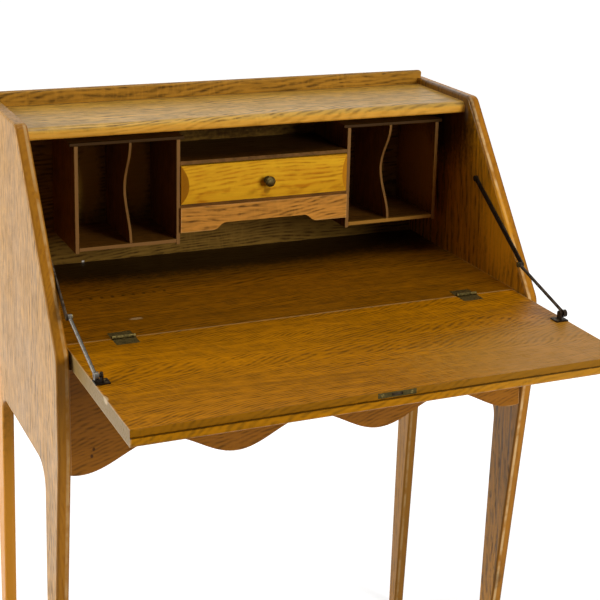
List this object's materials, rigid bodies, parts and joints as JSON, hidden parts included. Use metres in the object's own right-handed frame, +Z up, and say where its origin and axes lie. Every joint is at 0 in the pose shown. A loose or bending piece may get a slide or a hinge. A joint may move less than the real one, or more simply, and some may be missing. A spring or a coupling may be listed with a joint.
{
  "type": "secretary desk",
  "caption": "Oak fall-front secretary desk on tapered legs, with an open hinged lid on folding stays, pigeonholes, a small drawer and a scalloped apron.",
  "frame": {"origin": "On the floor, under the middle of the desk with its lid open", "axes": "+X to the user's right, +Y to the back of the desk, +Z up"},
  "size_m": [0.762, 0.685, 1.048],
  "materials": {
    "oak": "golden brown oak, satin varnish",
    "oak_brown": "red-brown oak, dull varnish",
    "oak_yellow": "yellow oak, satin varnish",
    "brass": "aged brass",
    "steel": "darkened steel"
  },
  "bodies": {
    "case": {"back_panel": "oak", "bank_left_divider": "oak_brown", "bank_left_floor": "oak_brown", "bank_left_inner_wall": "oak_brown", "bank_left_outer_wall": "oak_brown", "bank_left_roof": "oak_brown", "bank_right_divider": "oak_brown", "bank_right_floor": "oak_brown", "bank_right_inner_wall": "oak_brown", "bank_right_outer_wall": "oak_brown", "bank_right_roof": "oak_brown", "center_apron": "oak_brown", "center_shelf": "oak_brown", "cleat_left": "oak", "cleat_right": "oak", "drawer_board": "oak_brown", "front_apron": "oak", "front_rail": "oak", "gallery": "oak", "hinge_left_bed_leaf": "brass", "hinge_left_pin": "brass", "hinge_right_bed_leaf": "brass", "hinge_right_pin": "brass", "side_left": "oak", "side_right": "oak", "stay_left_stud": "steel", "stay_right_stud": "steel", "strike_plate": "brass", "top_board": "oak", "writing_bed": "oak"},
    "lid": {"escutcheon": "brass", "hinge_left_lid_leaf": "brass", "hinge_right_lid_leaf": "brass", "lid_board": "oak", "lock_case": "steel", "lock_selvage": "brass", "stay_left_eye": "steel", "stay_right_eye": "steel"},
    "bolt": {"lock_bolt": "steel"},
    "drawer": {"drawer_back": "oak_brown", "drawer_bottom": "oak_brown", "drawer_front": "oak_yellow", "drawer_knob": "brass", "drawer_left_side": "oak_brown", "drawer_right_side": "oak_brown"},
    "stay_left_upper": {"stay_left_rivet": "brass", "stay_left_upper_link": "steel"},
    "stay_left_lower": {"stay_left_lower_link": "steel", "stay_left_rivet_head": "brass"},
    "stay_right_upper": {"stay_right_rivet": "brass", "stay_right_upper_link": "steel"},
    "stay_right_lower": {"stay_right_lower_link": "steel", "stay_right_rivet_head": "brass"}
  },
  "joints": [
    {"name": "lid_hinge", "type": "hinge", "parent": "case", "child": "lid", "pos_m": [0, -0.0345, 0.7615], "axis": [-1, 0, 0], "range_deg": [0, 129.5]},
    {"name": "drawer_slide", "type": "slide", "parent": "case", "child": "drawer", "axis": [0, -1, 0], "range_m": [0, 0.06]},
    {"name": "bolt_slide", "type": "slide", "parent": "lid", "child": "bolt", "axis": [0, -1, 0], "range_m": [0, 0.012]},
    {"name": "stay_left_upper_pivot", "type": "hinge", "parent": "case", "child": "stay_left_upper", "pos_m": [-0.358, 0.0995, 0.908], "axis": [1, 0, 0], "range_deg": [0, 15.3]},
    {"name": "stay_left_lower_pivot", "type": "hinge", "parent": "lid", "child": "stay_left_lower", "pos_m": [-0.358, -0.1835, 0.77], "axis": [-1, 0, 0], "range_deg": [0, 18.04]},
    {"name": "stay_right_upper_pivot", "type": "hinge", "parent": "case", "child": "stay_right_upper", "pos_m": [0.358, 0.0995, 0.908], "axis": [1, 0, 0], "range_deg": [0, 15.3]},
    {"name": "stay_right_lower_pivot", "type": "hinge", "parent": "lid", "child": "stay_right_lower", "pos_m": [0.358, -0.1835, 0.77], "axis": [-1, 0, 0], "range_deg": [0, 18.04]}
  ],
  "couplings": [
    {"joint": "stay_left_upper_pivot", "follows": "lid_hinge", "ratio": 0.11776},
    {"joint": "stay_left_lower_pivot", "follows": "lid_hinge", "ratio": 0.13892},
    {"joint": "stay_right_upper_pivot", "follows": "lid_hinge", "ratio": 0.11776},
    {"joint": "stay_right_lower_pivot", "follows": "lid_hinge", "ratio": 0.13892}
  ]
}
